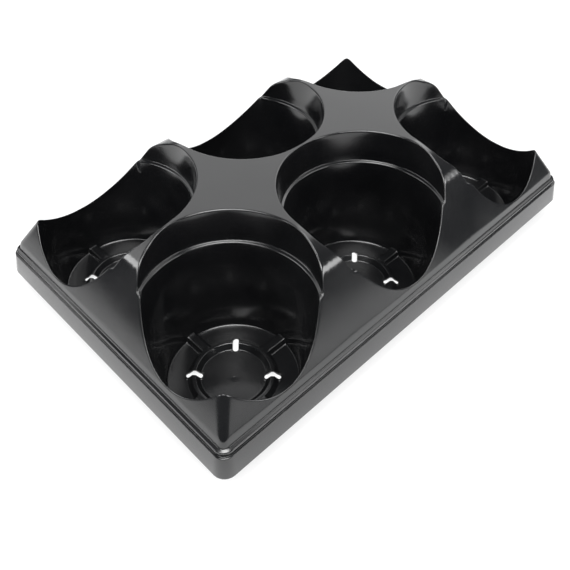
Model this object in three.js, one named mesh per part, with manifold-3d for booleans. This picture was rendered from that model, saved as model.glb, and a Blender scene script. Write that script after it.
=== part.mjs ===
// Pot carry tray: a vacuum-formed plastic sheet with conical pockets for round plant pots.
// The sheet is divided along its mould lines into pocket walls, pocket floors, deck stars,
// side fins, corner peaks and the base rim. X runs along the long side, Y along the short side,
// and Z is up from the surface that the pocket floors stand on.

import * as THREE from 'three';
import { LoftGeometry } from 'three/addons/geometries/LoftGeometry.js';
import { mergeVertices } from 'three/addons/utils/BufferGeometryUtils.js';
import Module from 'manifold-3d';

// Driving dimensions, in millimetres and degrees

const COLUMNS = 3;
const ROWS = 2;
const SHEET = 1; // wall of the formed sheet
const SEAM = 0.3; // clearance between neighbouring zones of the sheet

const MOUTH_DIAMETER = 133.6; // pocket opening at deck level
const WEB_LONG = 3.4; // deck left between two mouths along X
const WEB_SHORT = 1.8; // deck left between two mouths along Y
const POCKET_DEPTH = 105.5; // deck down to the pocket floor
const UPPER_DRAFT = 6.4; // lean of the wall above the step
const LOWER_DRAFT = 9.85; // lean of the wall below the step
const STEP_DEPTH = 26.7; // deck down to the step that a pot's rim stops on
const STEP_WIDTH = 2.9;
const STEP_FALL = 2.6;
const FOOT_RADIUS = 1.2; // rounding between the pocket wall and its floor

const RING_RADIUS = 29; // crest of the raised ring on the floor
const RING_BASE = 9.4;
const RING_TOP = 1.4;
const RING_HEIGHT = 3.5;
const RIB_COUNT = 4;
const RIB_BASE = 10.5;
const RIB_TOP = 6.5;
const RIB_HEIGHT = 3.7;
const RIB_COVER = 0.8; // floor dish's edge above the top of its ribs
const SLOT_COUNT = 4;
const SLOT_LENGTH = 12.5;
const SLOT_WIDTH = 4.4;

// The sides, from the deck down. Out is counted from the outer pockets' centre line.
const CREST_OUT = 27.5; // end of the gently falling web
const CREST_DROP = 11.8;
const CREST_RADIUS = 4;
const SILL = 0.5; // tier edge beyond the pocket wall at the foot of the fins
const FIN_DROP = 63;
const FIN_BULGE = 0.3; // crown of the fin face over its straight line
const TIER_HEIGHT = 5.8;
const TIER_LEAN = 1.6;
const LEDGE_WIDTH = 4.4;
const LIP_HEIGHT = 6.5;
const LIP_WIDTH = 0.7;
const SKIRT_HEIGHT = 16.5;
const SKIRT_LEAN = 3.8;

// Corner radii in plan
const RIDGE_RADIUS = 6.5;
const TIER_CORNER = 5;
const LIP_CORNER = 8;
const SKIRT_CORNER = 10;

const ROUND_STEPS = 28; // facets round a pocket
const ARC_STEPS = 2; // facets across a small rounding
const CORNER_STEPS = 4; // facets round a corner of the outline

const WELD = 1e-4; // points closer than this are one point

const SHEET_COLOUR = 0x1c1d1f;
const SHEET_ROUGHNESS = 0.45;

// Derived sizes

const MOUTH_RADIUS = MOUTH_DIAMETER / 2;
const PITCH_X = MOUTH_DIAMETER + WEB_LONG;
const PITCH_Y = MOUTH_DIAMETER + WEB_SHORT;
const CENTRE_X = PITCH_X * (COLUMNS - 1) / 2; // centre line of the end pockets
const CENTRE_Y = PITCH_Y * (ROWS - 1) / 2;
const DECK = POCKET_DEPTH + SHEET; // height of the deck
const DISH_TOP = SHEET + RIB_HEIGHT + RIB_COVER; // where a pocket's wall stands on its floor dish
const FIN_FOOT = DECK - FIN_DROP;
const BEYOND = 2 * DECK; // reach of cutting shapes past the sheet

const { Manifold, Mesh: ManifoldMesh } = await loadSolids();

async function loadSolids() {
  const wasm = await Module();
  wasm.setup();
  return wasm;
}

function solidOf(geometry) {
  const bare = new THREE.BufferGeometry();
  bare.setAttribute('position', geometry.attributes.position);
  bare.setIndex(geometry.index);
  const merged = mergeVertices(bare, WELD);
  return new Manifold(new ManifoldMesh({
    numProp: 3,
    vertProperties: new Float32Array(merged.attributes.position.array),
    triVerts: new Uint32Array(merged.index.array),
  }));
}

function geometryOf(solid) {
  const { vertProperties, triVerts } = solid.getMesh();
  const geometry = new THREE.BufferGeometry();
  geometry.setAttribute('position', new THREE.BufferAttribute(vertProperties, 3));
  geometry.setIndex(new THREE.BufferAttribute(triVerts, 1));
  geometry.computeVertexNormals();
  return geometry;
}

function box(xMin, xMax, yMin, yMax, zMin, zMax) {
  const geometry = new THREE.BoxGeometry(xMax - xMin, yMax - yMin, zMax - zMin);
  geometry.translate((xMin + xMax) / 2, (yMin + yMax) / 2, (zMin + zMax) / 2);
  return solidOf(geometry);
}

// Revolves a profile of [radius, height] points about Z.
function revolve(profile) {
  const points = profile.map(([radius, height]) => new THREE.Vector2(radius, height));
  const geometry = new THREE.LatheGeometry(points, ROUND_STEPS);
  geometry.rotateX(Math.PI / 2);
  return solidOf(geometry);
}

// Points of a circular rounding from one angle to another, in degrees.
function arc(centreX, centreY, radius, fromAngle, toAngle, steps = ARC_STEPS) {
  return Array.from({ length: steps + 1 }, (_, index) => {
    const angle = THREE.MathUtils.degToRad(fromAngle + (toAngle - fromAngle) * index / steps);
    return [centreX + radius * Math.cos(angle), centreY + radius * Math.sin(angle)];
  });
}

// Pocket wall

// Radius of the inner wall at a height, moved outwards by an amount square to the wall.
function upperRadius(height, outwards = 0) {
  const lean = THREE.MathUtils.degToRad(UPPER_DRAFT);
  return MOUTH_RADIUS - (DECK - height) * Math.tan(lean) + outwards / Math.cos(lean);
}

function lowerRadius(height, outwards = 0) {
  const lean = THREE.MathUtils.degToRad(LOWER_DRAFT);
  const stepFoot = DECK - STEP_DEPTH - STEP_FALL;
  const stepRadius = upperRadius(DECK - STEP_DEPTH) - STEP_WIDTH;
  return stepRadius - (stepFoot - height) * Math.tan(lean) + outwards / Math.cos(lean);
}

// Wall line from the top of the floor dish to above the deck, as [radius, height] points.
function wallLine(outwards) {
  const stepTop = DECK - STEP_DEPTH - outwards;
  const stepFoot = stepTop - STEP_FALL;
  const top = DECK + STEP_DEPTH;
  return [
    [lowerRadius(DISH_TOP, outwards), DISH_TOP],
    [lowerRadius(stepFoot, outwards), stepFoot],
    [upperRadius(stepTop, outwards), stepTop],
    [upperRadius(top, outwards), top],
  ];
}

// Solid plug of a pocket, out to the given distance from its inner wall.
function pocketPlug(outwards) {
  const line = wallLine(outwards);
  const [footRadius] = line[0];
  const [, topHeight] = line[line.length - 1];
  return revolve([[0, -BEYOND], [footRadius, -BEYOND], ...line, [0, topHeight]]);
}

function pocketWall(centreX, centreY, body) {
  const outer = wallLine(SHEET);
  const inner = wallLine(0).reverse();
  const funnel = revolve([...outer, ...inner, outer[0]]);
  const halfX = (PITCH_X - SEAM) / 2;
  const halfY = (PITCH_Y - SEAM) / 2;
  const cell = box(-halfX, halfX, -halfY, halfY, 0, BEYOND);
  const localBody = geometryOf(body).translate(-centreX, -centreY, 0);
  return funnel.intersect(solidOf(localBody)).intersect(cell);
}

// Pocket floor

// Line of the floor from the axis to the edge of the dish, with the raised ring. The lower line
// of the sheet lies one sheet below the upper one and outside it.
function dishLine(height, outwards) {
  const lean = THREE.MathUtils.degToRad(LOWER_DRAFT);
  const radius = FOOT_RADIUS + outwards;
  const centreHeight = height + radius;
  const centreRadius = lowerRadius(centreHeight, outwards) - radius / Math.cos(lean);
  const halfBase = RING_BASE / 2 - outwards;
  const halfTop = RING_TOP / 2;
  return [
    [0, height],
    [RING_RADIUS - halfBase, height],
    [RING_RADIUS - halfTop, height + RING_HEIGHT],
    [RING_RADIUS + halfTop, height + RING_HEIGHT],
    [RING_RADIUS + halfBase, height],
    ...arc(centreRadius, centreHeight, radius, -90, -LOWER_DRAFT),
    [lowerRadius(DISH_TOP, outwards), DISH_TOP],
  ];
}

// Bar of trapezium section lying along +X, turned to an angle about Z.
function radialBar(from, to, base, top, foot, height, angle) {
  const section = new THREE.Shape([
    new THREE.Vector2(-base / 2, foot),
    new THREE.Vector2(base / 2, foot),
    new THREE.Vector2(top / 2, height),
    new THREE.Vector2(-top / 2, height),
  ]);
  const geometry = new THREE.ExtrudeGeometry(section, { depth: to - from, bevelEnabled: false });
  geometry.rotateX(Math.PI / 2);
  geometry.rotateZ(Math.PI / 2);
  geometry.translate(from, 0, 0);
  geometry.rotateZ(angle);
  return solidOf(geometry);
}

function drainSlot(angle) {
  const radius = SLOT_WIDTH / 2;
  const reach = SLOT_LENGTH / 2 - radius;
  const outline = new THREE.Shape();
  outline.absarc(RING_RADIUS + reach, 0, radius, -Math.PI / 2, Math.PI / 2);
  outline.absarc(RING_RADIUS - reach, 0, radius, Math.PI / 2, 3 * Math.PI / 2);
  const geometry = new THREE.ExtrudeGeometry(outline, {
    depth: BEYOND,
    bevelEnabled: false,
    curveSegments: ARC_STEPS,
  });
  geometry.translate(0, 0, -BEYOND / 2);
  geometry.rotateZ(angle);
  return solidOf(geometry);
}

function pocketFloor() {
  const envelope = pocketPlug(SHEET);
  const ribEnd = lowerRadius(DISH_TOP, SHEET / 2);
  const hollowStart = RING_RADIUS + RING_BASE / 2;
  const hollowEnd = lowerRadius(SHEET) - FOOT_RADIUS;
  let floor = revolve([...dishLine(0, SHEET), ...dishLine(SHEET, 0).reverse()]);
  const hollows = [];
  for (let index = 0; index < RIB_COUNT; index += 1) {
    const angle = index * 2 * Math.PI / RIB_COUNT;
    const rib = radialBar(RING_RADIUS, ribEnd, RIB_BASE, RIB_TOP, SHEET / 2, SHEET + RIB_HEIGHT, angle);
    floor = floor.add(rib.intersect(envelope));
    const base = RIB_BASE - 2 * SHEET;
    const top = RIB_TOP - 2 * SHEET;
    hollows.push(radialBar(hollowStart, hollowEnd, base, top, -SHEET, RIB_HEIGHT, angle));
  }
  for (const hollow of hollows) floor = floor.subtract(hollow);
  for (let index = 0; index < SLOT_COUNT; index += 1) {
    floor = floor.subtract(drainSlot((index + 0.5) * 2 * Math.PI / SLOT_COUNT));
  }
  return floor;
}

// Body of the tray

// Side profile from the skirt's foot up to the deck, as { out, z, round } points.
function sideProfile() {
  const finOut = lowerRadius(FIN_FOOT, SHEET + SEAM) + SILL;
  const tierOut = finOut + TIER_LEAN;
  const lipOut = tierOut + LEDGE_WIDTH;
  const tierFoot = FIN_FOOT - TIER_HEIGHT;
  const lipFoot = tierFoot - LIP_HEIGHT;
  const skirtTop = lipOut - LIP_WIDTH;
  const crestZ = DECK - CREST_DROP;
  const finMiddle = { out: (CREST_OUT + finOut) / 2, z: (crestZ + FIN_FOOT) / 2 };
  const finLength = Math.hypot(finOut - CREST_OUT, crestZ - FIN_FOOT);
  const finSquareOut = (crestZ - FIN_FOOT) / finLength;
  const finSquareUp = (finOut - CREST_OUT) / finLength;
  const belly = {
    out: finMiddle.out + FIN_BULGE * finSquareOut,
    z: finMiddle.z + FIN_BULGE * finSquareUp,
    round: RIDGE_RADIUS,
  };
  const deckEdge = { out: 0, z: DECK, round: RIDGE_RADIUS };
  const crest = { out: CREST_OUT, z: crestZ, round: RIDGE_RADIUS };
  return [
    { out: skirtTop + SKIRT_LEAN, z: lipFoot - SKIRT_HEIGHT, round: SKIRT_CORNER },
    { out: skirtTop, z: lipFoot, round: LIP_CORNER },
    { out: lipOut, z: lipFoot + LIP_WIDTH, round: LIP_CORNER },
    { out: lipOut, z: tierFoot - LIP_WIDTH, round: LIP_CORNER },
    { out: lipOut - LIP_WIDTH, z: tierFoot, round: LIP_CORNER },
    { out: tierOut, z: tierFoot, round: TIER_CORNER },
    { out: finOut, z: FIN_FOOT, round: TIER_CORNER },
    belly,
    ...roundedCrest(belly, crest, deckEdge),
    deckEdge,
  ];
}

// Replaces the sharp crest by points on a curve that leaves both faces tangentially.
function roundedCrest(below, crest, above) {
  const towards = (end) => {
    const share = CREST_RADIUS / Math.hypot(end.out - crest.out, end.z - crest.z);
    return new THREE.Vector2(crest.out, crest.z).lerp(new THREE.Vector2(end.out, end.z), share);
  };
  const curve = new THREE.QuadraticBezierCurve(
    towards(below),
    new THREE.Vector2(crest.out, crest.z),
    towards(above),
  );
  return curve.getPoints(ARC_STEPS).map(({ x, y }) => ({ out: x, z: y, round: crest.round }));
}

// Moves a side profile inwards by one sheet, keeping it parallel to itself.
function insetProfile(profile) {
  const squareInwards = (from, to) => {
    const length = Math.hypot(to.out - from.out, to.z - from.z);
    return { out: -(to.z - from.z) / length, z: (to.out - from.out) / length };
  };
  const inset = profile.map((point, index) => {
    const before = index > 0 ? squareInwards(profile[index - 1], point) : { out: -1, z: 0 };
    const after = index < profile.length - 1
      ? squareInwards(point, profile[index + 1])
      : { out: 0, z: -1 };
    const stretch = SHEET / (1 + before.out * after.out + before.z * after.z);
    return {
      out: point.out + stretch * (before.out + after.out),
      z: point.z + stretch * (before.z + after.z),
      round: Math.max(point.round - SHEET, SHEET),
    };
  });
  return inset;
}

// Carries a side profile straight down from the skirt's foot, past everything.
function reachDown(profile) {
  return [{ ...profile[0], z: -BEYOND }, ...profile];
}

// Rounded rectangle in plan at one point of the side profile.
function outline({ out, z, round }) {
  const halfX = CENTRE_X + out;
  const halfY = CENTRE_Y + out;
  const corners = [[1, 1, 0], [-1, 1, 90], [-1, -1, 180], [1, -1, 270]];
  return corners.flatMap(([signX, signY, start]) => {
    const centreX = signX * (halfX - round);
    const centreY = signY * (halfY - round);
    return arc(centreX, centreY, round, start, start + 90, CORNER_STEPS)
      .map(([x, y]) => new THREE.Vector3(x, y, z));
  });
}

function loftBody(profile) {
  return solidOf(new LoftGeometry(profile.map(outline), { capStart: true, capEnd: true }));
}

// Sheet with the pockets' mouths cut out of it.
function formedSheet(profile, centres) {
  const hollow = loftBody(reachDown(insetProfile(profile)));
  let sheet = loftBody(profile).subtract(hollow);
  for (const { x, y } of centres) {
    const plug = geometryOf(pocketPlug(SHEET + SEAM)).translate(x, y, 0);
    sheet = sheet.subtract(solidOf(plug));
  }
  return sheet;
}

// Assembly

function pocketCentres() {
  const centres = [];
  for (let row = 0; row < ROWS; row += 1) {
    for (let column = 0; column < COLUMNS; column += 1) {
      const x = column * PITCH_X - CENTRE_X;
      const y = row * PITCH_Y - CENTRE_Y;
      centres.push({ x, y, label: `r${row + 1}_c${column + 1}` });
    }
  }
  return centres;
}

function sheetMesh(name, geometry) {
  const material = new THREE.MeshStandardMaterial({
    color: SHEET_COLOUR,
    roughness: SHEET_ROUGHNESS,
    metalness: 0,
  });
  const mesh = new THREE.Mesh(geometry, material);
  mesh.name = name;
  return mesh;
}

// Cuts between zones along one direction: outside, each pocket interval, outside.
function intervals(count, pitch, centre) {
  const cuts = Array.from({ length: count }, (_, index) => index * pitch - centre);
  return [-BEYOND - centre, ...cuts, BEYOND + centre];
}

function zoneName(column, row) {
  const endColumn = column === 0 || column === COLUMNS;
  const endRow = row === 0 || row === ROWS;
  const place = `r${row}_c${column}`;
  if (endColumn && endRow) return `corner_peak_${place}`;
  return endColumn || endRow ? `side_fin_${place}` : `deck_star_${place}`;
}

// Deck stars, side fins and corner peaks: one zone between each four neighbouring pockets.
function addUpperZones(group, sheet) {
  const xCuts = intervals(COLUMNS, PITCH_X, CENTRE_X);
  const yCuts = intervals(ROWS, PITCH_Y, CENTRE_Y);
  for (let row = 0; row <= ROWS; row += 1) {
    for (let column = 0; column <= COLUMNS; column += 1) {
      const zone = box(
        xCuts[column], xCuts[column + 1],
        yCuts[row], yCuts[row + 1],
        FIN_FOOT, BEYOND,
      );
      group.add(sheetMesh(zoneName(column, row), geometryOf(sheet.intersect(zone))));
    }
  }
}

function addPockets(group, centres, body) {
  const floor = geometryOf(pocketFloor());
  for (const { x, y, label } of centres) {
    const pocket = new THREE.Group();
    pocket.position.set(x, y, 0);
    pocket.add(sheetMesh(`pocket_wall_${label}`, geometryOf(pocketWall(x, y, body))));
    pocket.add(sheetMesh(`pocket_floor_${label}`, floor.clone()));
    group.add(pocket);
  }
}

function buildTray() {
  const tray = new THREE.Group();
  const profile = sideProfile();
  const centres = pocketCentres();
  const sheet = formedSheet(profile, centres);
  const reachX = CENTRE_X + BEYOND;
  const reachY = CENTRE_Y + BEYOND;
  const lowerZone = box(-reachX, reachX, -reachY, reachY, -BEYOND, FIN_FOOT);
  tray.add(sheetMesh('base_rim', geometryOf(sheet.intersect(lowerZone))));
  addUpperZones(tray, sheet);
  addPockets(tray, centres, loftBody(reachDown(profile)));
  return tray;
}

export default buildTray();
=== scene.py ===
import math

import bmesh
import bpy
import numpy as np
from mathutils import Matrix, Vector


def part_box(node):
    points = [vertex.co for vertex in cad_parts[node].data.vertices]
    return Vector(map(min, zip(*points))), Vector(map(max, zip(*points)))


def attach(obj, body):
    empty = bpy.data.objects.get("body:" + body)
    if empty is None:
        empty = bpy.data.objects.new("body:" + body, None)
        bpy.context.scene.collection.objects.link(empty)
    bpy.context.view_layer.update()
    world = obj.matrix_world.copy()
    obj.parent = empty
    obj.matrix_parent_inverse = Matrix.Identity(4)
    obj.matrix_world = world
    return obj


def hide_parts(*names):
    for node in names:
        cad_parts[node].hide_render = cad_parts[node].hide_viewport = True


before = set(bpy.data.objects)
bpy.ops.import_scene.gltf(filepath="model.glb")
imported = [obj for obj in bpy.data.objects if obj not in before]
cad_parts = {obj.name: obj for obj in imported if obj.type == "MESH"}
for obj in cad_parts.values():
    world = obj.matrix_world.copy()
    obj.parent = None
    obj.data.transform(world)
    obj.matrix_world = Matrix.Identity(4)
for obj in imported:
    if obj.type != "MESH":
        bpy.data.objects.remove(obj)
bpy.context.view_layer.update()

# Pot carry tray: one vacuum-formed black sheet with six conical pockets.
#
# The skin is laid out pocket by pocket. Each pocket has lines that run from the middle of its floor
# up its wall, over its mouth and out to the neighbouring pocket or down the side of the tray, and
# rows that run round it. Sizes are in millimetres where a heading doesn't say metres, and the mesh
# is made in metres.

MM = 0.001

# Sheet and pockets
ROWS = 2
COLUMNS = 3
SHEET = 1.0
MOUTH_RADIUS = 66.8
UPPER_DRAFT = math.radians(6.4)
LOWER_DRAFT = math.radians(8.8)
STEP_DEPTH = 26.7
STEP_WIDTH = 2.9
STEP_FALL = 2.6
STEP_SLOPE = math.radians(8)
NOSE_CUT = 0.9
STEP_CUT = 0.6
FOOT_RADIUS = 1.2
MOUTH_CUT = 1.5
NARROW_SHARE = 0.45

# Pocket floor
RING_RADIUS = 29.0
RING_BASE = 9.4
RING_TOP = 2.6
RING_HEIGHT = 3.9
RING_CUT = 0.35
RIB_BASE = 10.5
RIB_TOP = 6.5
RIB_HEIGHT = 3.7
RIB_CUT = 0.7
RIB_MARGIN = 1.0
RIB_START = 2.0
SLOT_LENGTH = 12.5
SLOT_WIDTH = 4.4
NUB_RADIUS = 1.2
NUB_HEIGHT = 0.2

# Sides of the tray, counted outwards from the outer pockets' centre lines
CREST_OUT = 27.5
CREST_DROP = 11.8
DECK_CUT = 12.0
CREST_CUT = (9.0, 6.0)
FOOT_CUT = 0.8
TIER_HEIGHT = 5.8
TIER_LEAN = 1.6
LEDGE_WIDTH = 2.8
LEDGE_FALL = 0.35
LEDGE_CUT = 0.5
LIP_HEIGHT = 4.2
LIP_CUT = 0.8
GROOVE_CUT = 0.3
SHOULDER_WIDTH = 1.4
SHOULDER_CUT = 0.5
SKIRT_LEAN = 3.3
EDGE_CUT = 1.0
RIDGE_BLEND = 8.2
RIDGE_FULL = 41.0
TIER_BLEND = 6.3
TIER_CORNER = 5.0
LIP_CORNER = 8.0
SKIRT_CORNER = 10.0

# Fineness of the skin
SLOT_TURNS = (0.0, 30.0, 60.0, 90.0)
SLOT_MARGIN = 0.8
FREE_LINES = 10
CORNER_CROWDING = 1.8
CURVE_STEPS = 5
FINE_STEPS = 6
RIM_STEPS = 8
NUB_SHARES = (0.25, 0.5, 0.75, 1.0)
FLOOR_RADII = (6.0, 12.0, 17.0)
OUTER_SHARES = (0.08, 0.25, 0.5, 0.75)
LOWER_ROWS = 8
UPPER_ROWS = 6
SURFACE_ROWS = 18
FILLET_ROWS = 5
SIDE_POINTS = 288
TRACE_POINTS = 72
TRACE_CROWDING = 1.5
HALVINGS = 48
TINY = 1e-9
WELD = 0.002
SHARP_ANGLE = math.radians(55)

# Height at which a wall's lines have turned from the floor's spacing to the mouth's
WALL_TURNED = 40.0

# Black plastic, with the scales of its noise per metre
CLOUD_SCALE = 22.0
CLOUD_DETAIL = 3.0
GRAIN_SCALE = 1500.0
GRAIN_DETAIL = 2.0
NOISE_LOW = 0.35
NOISE_HIGH = 0.65
DEEP_BLACK = (0.0033, 0.0034, 0.0038, 1.0)
PALE_BLACK = (0.0056, 0.0057, 0.0061, 1.0)
LOW_ROUGHNESS = 0.14
HIGH_ROUGHNESS = 0.19
SPECULAR_LEVEL = 0.62
GRAIN_STRENGTH = 0.03
GRAIN_DEPTH = 0.2

# Floor and room, in metres
FLOOR_LEFT = -0.5
FLOOR_FRONT = -0.38
FLOOR_RIGHT = 0.7
FLOOR_BACK = 1.5
FLOOR_COLOUR = (0.86, 0.86, 0.86, 1.0)
FLOOR_ROUGHNESS = 0.9
ROOM_COLOUR = (0.9, 0.95, 1.0, 1.0)
ROOM_STRENGTH = 0.15
WHITE = (1.0, 1.0, 1.0, 1.0)

# Share of plain white in what the camera and the mirrored rays see of the floor
CAMERA_SHARE = 0.7
GLOSSY_SHARE = 0.1

# Soft boxes in metres, as (name, place, aim, width, height, watts)
SOFT_BOXES = [
    ("back_box", (0.79, 0.82, 0.92), (0.0, 0.0, 0.1), 1.7, 1.2, 11.0),
    ("left_back_box", (-0.56, 0.92, 0.93), (-0.17, 0.0, 0.09), 1.1, 0.42, 3.6),
    ("right_back_box", (0.75, 0.1, 1.1), (-0.05, -0.13, 0.04), 0.5, 1.1, 4.3),
    ("top_box", (-0.08, -0.02, 1.6), (-0.08, 0.0, 0.05), 0.5, 0.5, 12.0),
    ("front_box", (-0.65, -0.6, 1.45), (-0.13, -0.09, 0.05), 1.7, 0.45, 29.0),
    ("left_box", (-1.05, 0.53, 0.5), (-0.2, 0.0, 0.04), 0.75, 0.36, 7.0),
    ("right_box", (0.43, -0.98, 0.5), (-0.1, -0.13, 0.04), 0.75, 0.36, 7.0),
    ("right_board", (0.35, -1.0, -0.01), (-0.1, -0.13, 0.05), 0.6, 0.07, 0.27),
    ("right_far_box", (0.78, -0.72, 0.48), (0.05, -0.1, 0.05), 0.35, 0.3, 0.7),
]

# Camera, aimed at a point on the deck
CAMERA_AIM = (-89.5, -64.4)
CAMERA_AZIMUTH = math.radians(-43.99)
CAMERA_ELEVATION = math.radians(44.01)
CAMERA_DISTANCE = 473.3
CAMERA_LENS = 44.42
CAMERA_SHIFT = (0.0146, -0.0779)
CAMERA_CLIP = 10.0

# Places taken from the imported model


def millimetres(corner):
    return np.array(corner) / MM


def pocket_centre(row, column):
    low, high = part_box(f"pocket_floor_r{row + 1}_c{column + 1}")
    middle = (millimetres(low) + millimetres(high)) / 2
    return middle[:2]


CENTRE_X, CENTRE_Y = pocket_centre(ROWS - 1, COLUMNS - 1)
PITCH_X = 2 * CENTRE_X / (COLUMNS - 1)
PITCH_Y = 2 * CENTRE_Y / (ROWS - 1)
DECK = millimetres(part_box("deck_star_r1_c1")[1])[2]
FIN_FOOT = millimetres(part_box("side_fin_r0_c1")[0])[2]
RIM_LOW, RIM_HIGH = (millimetres(corner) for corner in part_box("base_rim"))
SKIRT_FOOT = RIM_LOW[2]
SKIRT_OUT = RIM_HIGH[0] - CENTRE_X
LIP_OUT = SKIRT_OUT - SKIRT_LEAN - SHOULDER_WIDTH
TIER_OUT = LIP_OUT - LEDGE_WIDTH
FIN_OUT = TIER_OUT - TIER_LEAN
TIER_FOOT = FIN_FOOT - TIER_HEIGHT
LIP_FOOT = TIER_FOOT - LIP_HEIGHT
END_OUT = FIN_OUT + FOOT_CUT * TIER_LEAN / TIER_HEIGHT
STEP_TOP = DECK - STEP_DEPTH
STEP_FOOT = STEP_TOP - STEP_FALL


# Curves


def smooth(share):
    share = np.clip(share, 0.0, 1.0)
    return share * share * (3.0 - 2.0 * share)


def bend(start, corner, end, steps=CURVE_STEPS):
    """Arc from start to end that leaves and arrives along the corner's two legs."""
    before, after = (start - corner)[:2], (end - corner)[:2]
    cosine = before @ after / (np.linalg.norm(before) * np.linalg.norm(after))
    share = np.linspace(0.0, 1.0, steps + 1)[:, None]
    pull = 2 * share * (1 - share) * math.sqrt((1 - cosine) / 2)
    total = (1 - share) ** 2 + pull + share ** 2
    return ((1 - share) ** 2 * start + pull * corner + share ** 2 * end) / total


def rounded(points, cuts, steps=CURVE_STEPS):
    """Line through points whose inner corners are bent. A cut is the length taken off before and
    after the corner, or a pair of lengths."""
    points = np.array(points, float)
    line = [points[:1]]
    for index, cut in enumerate(cuts, start=1):
        cut_before, cut_after = np.broadcast_to(cut, 2)
        corner = points[index]
        before = points[index - 1] - corner
        after = points[index + 1] - corner
        start = corner + before * cut_before / np.linalg.norm(before[:2])
        end = corner + after * cut_after / np.linalg.norm(after[:2])
        line.append(bend(start, corner, end, steps))
    line.append(points[-1:])
    return np.concatenate(line)


def upper_radius(height):
    return MOUTH_RADIUS - (DECK - height) * math.tan(UPPER_DRAFT)


def lower_radius(height):
    step_radius = upper_radius(STEP_TOP) - STEP_WIDTH
    return step_radius - (STEP_FOOT - height) * math.tan(LOWER_DRAFT)


def step_nose():
    """Where the step's ledge meets the lower wall carried on upwards."""
    lean = math.tan(LOWER_DRAFT)
    fall = math.tan(STEP_SLOPE)
    width = (STEP_WIDTH - STEP_FALL * lean) / (1.0 - fall * lean)
    return upper_radius(STEP_TOP) - width, STEP_TOP - width * fall


WALL_LINE = rounded(
    [
        (lower_radius(0.0), 0.0),
        step_nose(),
        (upper_radius(STEP_TOP), STEP_TOP),
        (upper_radius(DECK + STEP_DEPTH), DECK + STEP_DEPTH),
    ],
    [NOSE_CUT, STEP_CUT],
)


def wall_radius(height):
    return np.interp(height, WALL_LINE[:, 1], WALL_LINE[:, 0])


def side_line():
    """Side of the tray from the deck to just under the foot of the fins, as (out, height) points."""
    line = rounded(
        [
            (-CREST_OUT, DECK),
            (0.0, DECK),
            (CREST_OUT, DECK - CREST_DROP),
            (FIN_OUT, FIN_FOOT),
            (END_OUT, FIN_FOOT - FOOT_CUT),
        ],
        [DECK_CUT, CREST_CUT, FOOT_CUT],
    )
    steps = np.linalg.norm(np.diff(line, axis=0), axis=1)
    length = np.concatenate([[0.0], np.cumsum(steps)])
    even = np.linspace(0.0, length[-1], SIDE_POINTS)
    return np.stack([np.interp(even, length, line[:, axis]) for axis in (0, 1)], axis=1)


SIDE_LINE = side_line()


def out_of(x, y):
    """How far a point lies outside the pockets' centre lines, with the ridges rounded."""
    out_x = np.abs(x) - CENTRE_X
    out_y = np.abs(y) - CENTRE_Y
    farther = np.maximum(out_x, out_y)
    blend = np.interp(farther, [RIDGE_FULL, FIN_OUT], [RIDGE_BLEND, TIER_BLEND])
    near = np.maximum(1.0 - np.abs(out_x - out_y) / blend, 0.0)
    return farther + blend * near ** 3 / 6


def body_height(x, y):
    return np.interp(out_of(x, y), SIDE_LINE[:, 0], SIDE_LINE[:, 1])


def solve(rising, low, high, count):
    """Halves the range until rising turns positive, for each of the lines at once."""
    low = np.full(count, low, float)
    high = np.full(count, high, float)
    for _ in range(HALVINGS):
        middle = (low + high) / 2
        above = rising(middle) > 0
        high = np.where(above, middle, high)
        low = np.where(above, low, middle)
    return (low + high) / 2


# Lines of a pocket

RING_LINE = rounded(
    [
        (0.0, RING_HEIGHT),
        (RING_TOP / 2, RING_HEIGHT),
        (RING_BASE / 2, 0.0),
        (SLOT_LENGTH / 2, 0.0),
    ],
    [RING_CUT, RING_CUT], FINE_STEPS,
)
RIB_LINE = rounded(
    [
        (0.0, RIB_HEIGHT),
        (RIB_TOP / 2, RIB_HEIGHT),
        (RIB_BASE / 2, 0.0),
        (RIB_BASE / 2 + RIB_MARGIN, 0.0),
    ],
    [RIB_CUT, RIB_CUT], FINE_STEPS,
)
RIB_LINES = RIB_LINE[:, 0]
SLOT_OFFSETS = [SLOT_WIDTH / 2 * math.sin(math.radians(turn)) for turn in SLOT_TURNS]
SLOT_OUTER = SLOT_OFFSETS[-1] + SLOT_MARGIN
OCTANT = len(RIB_LINES) + FREE_LINES + len(SLOT_OFFSETS)
QUARTER = 2 * OCTANT
LINES = 4 * QUARTER
SLOT_INNER_END = RING_RADIUS - SLOT_LENGTH / 2
SLOT_OUTER_END = RING_RADIUS + SLOT_LENGTH / 2


def octant_angles(radius):
    """Angles of the lines from a rib's middle to a slot's middle, at a radius of the floor."""
    radius = max(radius, SLOT_INNER_END)
    rib = [math.asin(offset / radius) for offset in RIB_LINES]
    slot = [math.pi / 4 - math.asin(offset / radius) for offset in (SLOT_OUTER, *SLOT_OFFSETS[::-1])]
    free = np.linspace(rib[-1], slot[0], FREE_LINES + 2)[1:-1]
    return np.concatenate([rib, free, slot])


def floor_angles(radius):
    octant = octant_angles(radius)
    quarter = np.concatenate([octant[:-1], (math.pi / 2 - octant)[:0:-1]])
    return np.concatenate([quarter + turn * math.pi / 2 for turn in range(4)])


def slot_turns():
    """For each line, its turn round the slot's end in radians, or none where it misses the slot."""
    octant = np.full(OCTANT + 1, np.nan)
    octant[-len(SLOT_TURNS):] = np.radians(SLOT_TURNS)[::-1]
    quarter = np.concatenate([octant[:-1], octant[:0:-1]])
    return np.tile(quarter, 4)


SLOT_TURN = slot_turns()
IN_SLOT = ~np.isnan(SLOT_TURN)
SLOT_BOW = SLOT_WIDTH / 2 * np.where(IN_SLOT, np.cos(np.nan_to_num(SLOT_TURN)), 0.0)


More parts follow.
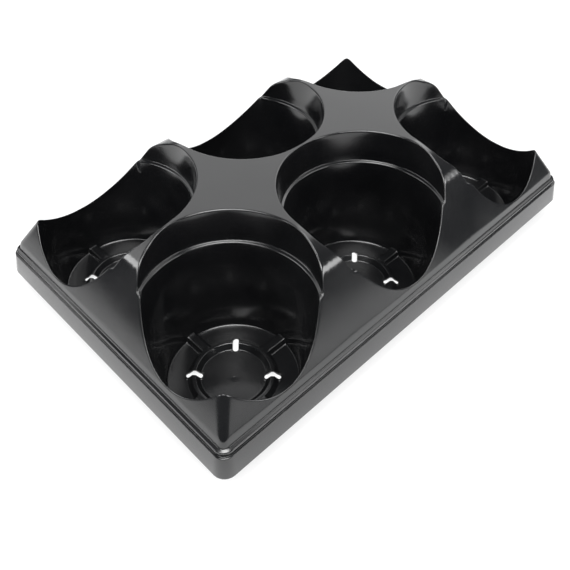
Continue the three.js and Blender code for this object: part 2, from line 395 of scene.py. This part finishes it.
def mouth_angles(row, column):
    """Angles of the lines from the mouth outwards. The middle line of each quarter meets the
    corner of the pocket's cell."""
    half_x, half_y = PITCH_X / 2, PITCH_Y / 2
    angles = []
    for quarter in range(4):
        right = quarter in (0, 3)
        up = quarter in (0, 1)
        inner_x = column < COLUMNS - 1 if right else column > 0
        inner_y = row < ROWS - 1 if up else row > 0
        reach_x = half_x if inner_x else END_OUT
        reach_y = half_y if inner_y else END_OUT
        corner = math.atan2(reach_y, reach_x)
        middle = corner if right == up else math.pi / 2 - corner
        from_corner = np.linspace(1.0, 0.0, OCTANT + 1) ** CORNER_CROWDING
        first = middle * (1.0 - from_corner)
        second = middle + (math.pi / 2 - middle) * from_corner[::-1]
        angles.append(np.concatenate([first, second[1:-1]]) + quarter * math.pi / 2)
    return np.concatenate(angles)


# Floor


def rib_height(radius, angle):
    quarter = math.pi / 2
    nearest = np.mod(angle + quarter / 2, quarter) - quarter / 2
    offset = np.abs(radius * np.sin(nearest))
    height = np.interp(offset, RIB_LINE[:, 0], RIB_LINE[:, 1])
    return height * smooth((radius - RING_RADIUS + RIB_START) / RIB_START)


def ring_height(radius):
    return np.interp(np.abs(radius - RING_RADIUS), RING_LINE[:, 0], RING_LINE[:, 1])


def floor_height(radius, angle):
    raised = np.maximum(ring_height(radius), rib_height(radius, angle))
    return SHEET + raised + NUB_HEIGHT * smooth(1.0 - radius / NUB_RADIUS)


def foot_rounding():
    """Rows of the rounding between floor and wall, which rises over the ribs' ends."""
    angle = floor_angles(lower_radius(SHEET))
    base = SHEET + rib_height(lower_radius(SHEET) - FOOT_RADIUS, angle)
    centre = lower_radius(base + FOOT_RADIUS) - FOOT_RADIUS / math.cos(LOWER_DRAFT)
    rows = []
    for turn in np.linspace(-math.pi / 2, -LOWER_DRAFT, FILLET_ROWS + 1):
        radius = centre + FOOT_RADIUS * math.cos(turn)
        height = base + FOOT_RADIUS * (1 + math.sin(turn))
        rows.append((radius, angle, height))
    return rows


def floor_rows():
    """Rows from the middle of the floor to the foot rounding, each as (radius, angle, height), with
    the numbers of the rows that bend round the slots' inner and outer ends."""
    rounding = foot_rounding()
    edge = rounding[0][0]
    half = SLOT_WIDTH / 2
    before_slot = SLOT_INNER_END - SLOT_MARGIN
    bow = np.where(IN_SLOT, half - SLOT_BOW, 0.0)
    inner_end = SLOT_INNER_END + bow
    outer_end = SLOT_OUTER_END - bow
    ring_radii = np.concatenate([RING_RADIUS - RING_LINE[:0:-1, 0], RING_RADIUS + RING_LINE[:, 0]])
    flat = np.ones(LINES)
    radii = [flat * NUB_RADIUS * share for share in NUB_SHARES]
    radii += [flat * radius for radius in (*FLOOR_RADII, before_slot)]
    radii.append((before_slot + inner_end) / 2)
    first = len(radii)
    radii += [np.clip(radius, inner_end, outer_end) for radius in ring_radii]
    last = len(radii) - 1
    radii += [outer_end + (edge - outer_end) * share for share in OUTER_SHARES]
    rows = []
    for radius in radii:
        angle = np.array([floor_angles(r)[index] for index, r in enumerate(radius)])
        rows.append((radius, angle, floor_height(radius, angle)))
    return rows + rounding, first, last


FLOOR_ROWS, SLOT_FIRST, SLOT_LAST = floor_rows()
FLOOR_TOP = max(np.max(height) for _, _, height in FLOOR_ROWS)
WALL_ROWS = np.concatenate([
    np.linspace(FLOOR_TOP, STEP_FOOT - STEP_CUT, LOWER_ROWS)[1:-1],
    WALL_LINE[1:-1, 1],
    np.linspace(STEP_TOP + STEP_CUT, DECK, UPPER_ROWS)[1:],
])


# Skin of one pocket and what surrounds it


def on_circle(centre, radius, angle, height):
    flat = np.ones(LINES)
    return np.stack([
        centre[0] + radius * np.cos(angle),
        centre[1] + radius * np.sin(angle),
        height * flat,
    ], axis=1)


def cell_reach(row, column, centre, angle):
    """Distance from the pocket's centre to the edge of its cell along each line."""
    cosine, sine = np.cos(angle), np.sin(angle)
    reach = solve(
        lambda far: out_of(centre[0] + far * cosine, centre[1] + far * sine) - END_OUT,
        0.0, 2 * PITCH_X, LINES,
    )
    inner_x = np.where(cosine > 0, column < COLUMNS - 1, column > 0)
    inner_y = np.where(sine > 0, row < ROWS - 1, row > 0)
    across_x = np.where(inner_x, PITCH_X / 2 / np.maximum(np.abs(cosine), TINY), np.inf)
    across_y = np.where(inner_y, PITCH_Y / 2 / np.maximum(np.abs(sine), TINY), np.inf)
    return np.minimum(reach, np.minimum(across_x, across_y))


def trace(centre, angle, start, reach):
    """Points on the body along each line, from the mouth to the edge of the cell, and how far each
    one lies along the surface."""
    share = np.linspace(0.0, 1.0, TRACE_POINTS) ** TRACE_CROWDING
    radius = start[None, :] + (reach - start)[None, :] * share[:, None]
    x = centre[0] + radius * np.cos(angle)
    y = centre[1] + radius * np.sin(angle)
    points = np.stack([x, y, body_height(x, y)], axis=2)
    steps = np.linalg.norm(np.diff(points, axis=0), axis=2)
    length = np.concatenate([np.zeros((1, LINES)), np.cumsum(steps, axis=0)])
    return points, length


def along_trace(points, length, distance):
    result = np.empty((LINES, 3))
    for line in range(LINES):
        for axis in range(3):
            result[line, axis] = np.interp(distance[line], length[:, line], points[:, line, axis])
    return result


def pocket_rows(row, column):
    centre = pocket_centre(row, column)
    angle = mouth_angles(row, column)
    cosine, sine = np.cos(angle), np.sin(angle)

    def above_body(height):
        radius = wall_radius(height)
        return height - body_height(centre[0] + radius * cosine, centre[1] + radius * sine)

    mouth = solve(above_body, FIN_FOOT - STEP_DEPTH, DECK + STEP_FALL, LINES)
    reach = cell_reach(row, column, centre, angle)
    points, length = trace(centre, angle, wall_radius(mouth), reach)
    cut = np.minimum(MOUTH_CUT, NARROW_SHARE * length[-1])
    wall_top = mouth - cut

    rows = [on_circle(centre, *floor_row) for floor_row in FLOOR_ROWS]
    foot_angle = FLOOR_ROWS[-1][1]
    foot_height = FLOOR_ROWS[-1][2]
    for height in WALL_ROWS:
        held = np.minimum(height, wall_top)
        turned = smooth((held - foot_height) / (WALL_TURNED - foot_height))
        wall_angle = foot_angle + (angle - foot_angle) * turned
        rows.append(on_circle(centre, wall_radius(held), wall_angle, held))
    start = on_circle(centre, wall_radius(wall_top), angle, wall_top)
    end = along_trace(points, length, cut)
    for share in np.linspace(0.0, 1.0, FILLET_ROWS + 2):
        rows.append((1 - share) ** 2 * start + 2 * share * (1 - share) * points[0] + share ** 2 * end)
    for share in np.linspace(0.0, 1.0, SURFACE_ROWS + 1)[1:]:
        rows.append(along_trace(points, length, cut + (length[-1] - cut) * share))
    return np.array(rows)


# Rim round the foot of the sides

RIM_LINE = rounded(
    [
        (END_OUT, FIN_FOOT - FOOT_CUT, TIER_CORNER),
        (TIER_OUT, TIER_FOOT, TIER_CORNER),
        (LIP_OUT, TIER_FOOT - LEDGE_FALL, LIP_CORNER),
        (LIP_OUT, LIP_FOOT, LIP_CORNER),
        (LIP_OUT + SHOULDER_WIDTH, LIP_FOOT, LIP_CORNER),
        (SKIRT_OUT, SKIRT_FOOT, SKIRT_CORNER),
        (SKIRT_OUT - SHEET - EDGE_CUT, SKIRT_FOOT, SKIRT_CORNER),
    ],
    [LEDGE_CUT, LIP_CUT, GROOVE_CUT, SHOULDER_CUT, EDGE_CUT], RIM_STEPS,
)


def rim_point(edge, out, height, corner):
    """Carries points on the foot of the fins to another outline of the rim."""
    side_x, side_y = np.abs(edge[:, 0]), np.abs(edge[:, 1])
    from_x = CENTRE_X + END_OUT - TIER_CORNER
    from_y = CENTRE_Y + END_OUT - TIER_CORNER
    to_x = CENTRE_X + out - corner
    to_y = CENTRE_Y + out - corner
    turn = np.arctan2(np.maximum(side_y - from_y, 0.0), np.maximum(side_x - from_x, 0.0))
    along_x = np.minimum(side_x / from_x, 1.0) * to_x
    along_y = np.minimum(side_y / from_y, 1.0) * to_y
    bow_x = np.where(side_x >= from_x, corner * np.cos(turn), 0.0)
    bow_y = np.where(side_y >= from_y, corner * np.sin(turn), 0.0)
    x = np.sign(edge[:, 0]) * (along_x + bow_x)
    y = np.sign(edge[:, 1]) * (along_y + bow_y)
    return np.stack([x, y, np.full(len(edge), height)], axis=1)


def rim_rows(edge):
    return np.array([edge] + [rim_point(edge, *point) for point in RIM_LINE[1:]])


# Skin


def strip_faces(first, rows, keep):
    """Quads between neighbouring rows of LINES points each, for the pairs of lines to keep."""
    faces = []
    for row in range(rows - 1):
        for line in range(LINES):
            if keep(row, line):
                following = (line + 1) % LINES
                low, high = first + row * LINES, first + (row + 1) * LINES
                faces.append((low + line, high + line, high + following, low + following))
    return faces


def over_slot(row, line):
    return SLOT_FIRST <= row < SLOT_LAST and IN_SLOT[line] and IN_SLOT[(line + 1) % LINES]


def skin_parts():
    points, faces, count = [], [], 0
    for row in range(ROWS):
        for column in range(COLUMNS):
            rows = pocket_rows(row, column)
            middle = np.array([[*pocket_centre(row, column), floor_height(0.0, 0.0)]])
            edge = rows[-1]
            outer = np.abs(out_of(edge[:, 0], edge[:, 1]) - END_OUT) < WELD
            on_rim = outer & np.roll(outer, -1)
            rim = rim_rows(edge)
            first = count + 1
            faces += [(count, first + line, first + (line + 1) % LINES) for line in range(LINES)]
            faces += strip_faces(first, len(rows), lambda row, line: not over_slot(row, line))
            first += rows.shape[0] * LINES
            faces += strip_faces(first, len(rim), lambda _, line: on_rim[line])
            points += [middle, rows.reshape(-1, 3), rim.reshape(-1, 3)]
            count = first + rim.shape[0] * LINES
    return np.concatenate(points), faces


def weld(mesh):
    """Joins the pockets where they meet and drops the points that no face uses."""
    work = bmesh.new()
    work.from_mesh(mesh)
    bmesh.ops.remove_doubles(work, verts=work.verts, dist=WELD * MM)
    bmesh.ops.delete(work, geom=[vert for vert in work.verts if not vert.link_faces], context="VERTS")
    for face in work.faces:
        face.smooth = True
    work.to_mesh(mesh)
    work.free()


def thicken(piece):
    solid = piece.modifiers.new("sheet", "SOLIDIFY")
    solid.thickness = SHEET * MM
    solid.offset = -1.0
    evaluated = piece.evaluated_get(bpy.context.evaluated_depsgraph_get())
    mesh = bpy.data.meshes.new_from_object(evaluated)
    piece.modifiers.clear()
    piece.data = mesh
    mesh.set_sharp_from_angle(angle=SHARP_ANGLE)


def make_skin(material):
    points, faces = skin_parts()
    mesh = bpy.data.meshes.new("tray_sheet")
    mesh.from_pydata((points * MM).tolist(), [], faces)
    weld(mesh)
    piece = bpy.data.objects.new("tray_sheet", mesh)
    bpy.context.scene.collection.objects.link(piece)
    thicken(piece)
    piece.data.materials.append(material)
    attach(piece, "root")
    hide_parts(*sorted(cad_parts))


# Materials


def node_of(tree, kind, **values):
    node = tree.nodes.new(kind)
    for name, value in values.items():
        setattr(node, name, value)
    return node


def noise(tree, place, scale, detail):
    node = node_of(tree, "ShaderNodeTexNoise")
    node.inputs["Scale"].default_value = scale
    node.inputs["Detail"].default_value = detail
    tree.links.new(place.outputs["Object"], node.inputs["Vector"])
    return node.outputs["Fac"]


def spread(tree, source, low, high):
    """Carries the middle range of a noise over to the range from low to high."""
    node = node_of(tree, "ShaderNodeMapRange")
    node.inputs["From Min"].default_value = NOISE_LOW
    node.inputs["From Max"].default_value = NOISE_HIGH
    node.inputs["To Min"].default_value = low
    node.inputs["To Max"].default_value = high
    tree.links.new(source, node.inputs["Value"])
    return node.outputs["Result"]


def black_plastic():
    """Black formed sheet with a fine grain and cloudy changes of colour and gloss."""
    material = bpy.data.materials.new("black_formed_plastic")
    material.use_nodes = True
    tree = material.node_tree
    shader = tree.nodes["Principled BSDF"]
    place = node_of(tree, "ShaderNodeTexCoord")
    cloud = noise(tree, place, CLOUD_SCALE, CLOUD_DETAIL)
    grain = noise(tree, place, GRAIN_SCALE, GRAIN_DETAIL)

    colour = node_of(tree, "ShaderNodeMix", data_type="RGBA")
    colour.inputs["A"].default_value = DEEP_BLACK
    colour.inputs["B"].default_value = PALE_BLACK
    tree.links.new(spread(tree, cloud, 0.0, 1.0), colour.inputs["Factor"])
    tree.links.new(colour.outputs["Result"], shader.inputs["Base Color"])

    roughness = spread(tree, cloud, LOW_ROUGHNESS, HIGH_ROUGHNESS)
    tree.links.new(roughness, shader.inputs["Roughness"])
    shader.inputs["Specular IOR Level"].default_value = SPECULAR_LEVEL

    bump = node_of(tree, "ShaderNodeBump")
    bump.inputs["Strength"].default_value = GRAIN_STRENGTH
    bump.inputs["Distance"].default_value = GRAIN_DEPTH * MM
    tree.links.new(grain, bump.inputs["Height"])
    tree.links.new(bump.outputs["Normal"], shader.inputs["Normal"])
    return material


# Stage, light and camera


def pale_floor():
    """White floor that shows the tray's shadow softly."""
    material = bpy.data.materials.new("pale_floor")
    material.use_nodes = True
    tree = material.node_tree
    shader = tree.nodes["Principled BSDF"]
    shader.inputs["Base Color"].default_value = FLOOR_COLOUR
    shader.inputs["Roughness"].default_value = FLOOR_ROUGHNESS
    shader.inputs["Specular IOR Level"].default_value = 0.0
    white = node_of(tree, "ShaderNodeEmission")
    ray = node_of(tree, "ShaderNodeLightPath")
    mirrored = node_of(tree, "ShaderNodeMath", operation="MULTIPLY")
    mirrored.inputs[1].default_value = GLOSSY_SHARE
    tree.links.new(ray.outputs["Is Glossy Ray"], mirrored.inputs[0])
    share = node_of(tree, "ShaderNodeMath", operation="MULTIPLY_ADD")
    share.inputs[1].default_value = CAMERA_SHARE
    tree.links.new(ray.outputs["Is Camera Ray"], share.inputs[0])
    tree.links.new(mirrored.outputs[0], share.inputs[2])
    mix = node_of(tree, "ShaderNodeMixShader")
    tree.links.new(share.outputs[0], mix.inputs[0])
    tree.links.new(shader.outputs[0], mix.inputs[1])
    tree.links.new(white.outputs[0], mix.inputs[2])
    tree.links.new(mix.outputs[0], tree.nodes["Material Output"].inputs["Surface"])
    return material


def make_floor():
    left, right, front, back = FLOOR_LEFT, FLOOR_RIGHT, FLOOR_FRONT, FLOOR_BACK
    mesh = bpy.data.meshes.new("floor")
    mesh.from_pydata(
        [(left, front, 0.0), (right, front, 0.0), (right, back, 0.0), (left, back, 0.0)],
        [], [(0, 1, 2, 3)],
    )
    floor = bpy.data.objects.new("floor", mesh)
    bpy.context.scene.collection.objects.link(floor)
    mesh.materials.append(pale_floor())


def make_world():
    world = bpy.data.worlds.new("studio")
    bpy.context.scene.world = world
    world.use_nodes = True
    tree = world.node_tree
    room = tree.nodes["Background"]
    room.inputs["Color"].default_value = ROOM_COLOUR
    room.inputs["Strength"].default_value = ROOM_STRENGTH
    white = node_of(tree, "ShaderNodeBackground")
    white.inputs["Color"].default_value = WHITE
    ray = node_of(tree, "ShaderNodeLightPath")
    mix = node_of(tree, "ShaderNodeMixShader")
    tree.links.new(ray.outputs["Is Camera Ray"], mix.inputs[0])
    tree.links.new(room.outputs[0], mix.inputs[1])
    tree.links.new(white.outputs[0], mix.inputs[2])
    tree.links.new(mix.outputs[0], tree.nodes["World Output"].inputs["Surface"])


def make_lights():
    for name, place, aim, width, height, watts in SOFT_BOXES:
        light = bpy.data.lights.new(name, "AREA")
        light.shape = "RECTANGLE"
        light.size = width
        light.size_y = height
        light.energy = watts
        lamp = bpy.data.objects.new(name, light)
        bpy.context.scene.collection.objects.link(lamp)
        lamp.location = place
        towards = Vector(aim) - Vector(place)
        lamp.rotation_euler = towards.to_track_quat("-Z", "Y").to_euler()


def make_camera():
    camera = bpy.data.objects.new("camera", bpy.data.cameras.new("camera"))
    bpy.context.scene.collection.objects.link(camera)
    level = math.cos(CAMERA_ELEVATION)
    back = Vector((
        math.sin(CAMERA_AZIMUTH) * level,
        -math.cos(CAMERA_AZIMUTH) * level,
        math.sin(CAMERA_ELEVATION),
    ))
    camera.location = (Vector((*CAMERA_AIM, DECK)) + back * CAMERA_DISTANCE) * MM
    camera.rotation_euler = (-back).to_track_quat("-Z", "Y").to_euler()
    camera.data.lens = CAMERA_LENS
    camera.data.shift_x, camera.data.shift_y = CAMERA_SHIFT
    camera.data.clip_start = CAMERA_CLIP * MM
    bpy.context.scene.camera = camera


make_skin(black_plastic())
make_floor()
make_world()
make_lights()
make_camera()
bpy.context.scene.view_settings.view_transform = "Standard"
